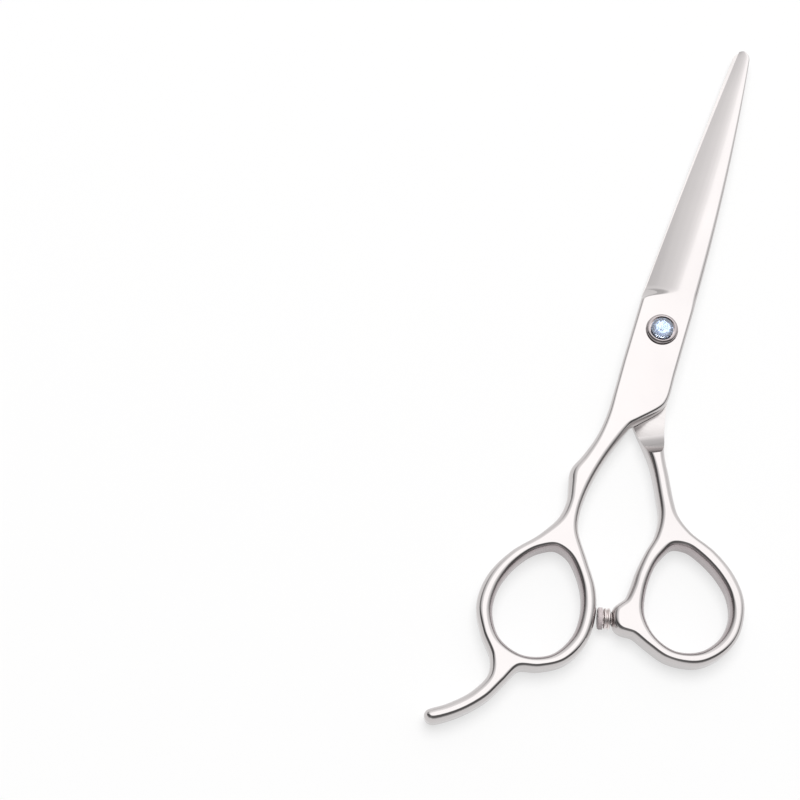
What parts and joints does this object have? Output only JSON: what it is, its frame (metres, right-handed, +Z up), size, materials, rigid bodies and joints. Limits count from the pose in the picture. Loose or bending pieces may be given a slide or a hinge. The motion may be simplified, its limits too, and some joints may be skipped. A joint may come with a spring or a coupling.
{
  "type": "hair cutting shears",
  "caption": "Straight-blade hair cutting shears with offset finger rings, a curved finger rest, a bumper between the rings and a crystal-set pivot screw.",
  "frame": {"origin": "on the pivot axis, at the flat underside of the rear tension nut, level with the table the closed shears lie on", "axes": "+Z up along the pivot axis to the crystal, +Y to the blade tips, +X to the thumb ring's side"},
  "size_m": [0.0568, 0.1694, 0.0073],
  "materials": {
    "polished_steel": "mirror-polished stainless steel",
    "screw_steel": "dark polished steel",
    "blue_crystal": "faceted, pale blue",
    "nylon": "plain",
    "spring_steel": "plain",
    "stud_steel": "turned and polished",
    "silicone": "translucent, satin"
  },
  "bodies": {
    "finger_half": {"finger_blade": "polished_steel", "pivot_screw": "screw_steel", "crystal": "blue_crystal", "friction_washer": "nylon", "ride_washer": "nylon", "spring_washer": "spring_steel"},
    "thumb_half": {"thumb_blade": "polished_steel", "bumper_stud": "stud_steel", "bumper_pad": "silicone"},
    "nut": {"tension_nut": "screw_steel"}
  },
  "joints": [
    {"name": "blade_pivot", "type": "hinge", "parent": "finger_half", "child": "thumb_half", "pos_m": [0, 0, 0.003], "axis": [0, 0, 1], "range_deg": [0, 90]},
    {"name": "tension_turn", "type": "hinge", "parent": "finger_half", "child": "nut", "pos_m": [0, 0, 0], "axis": [0, 0, 1], "range_deg": [-90, 90]}
  ]
}
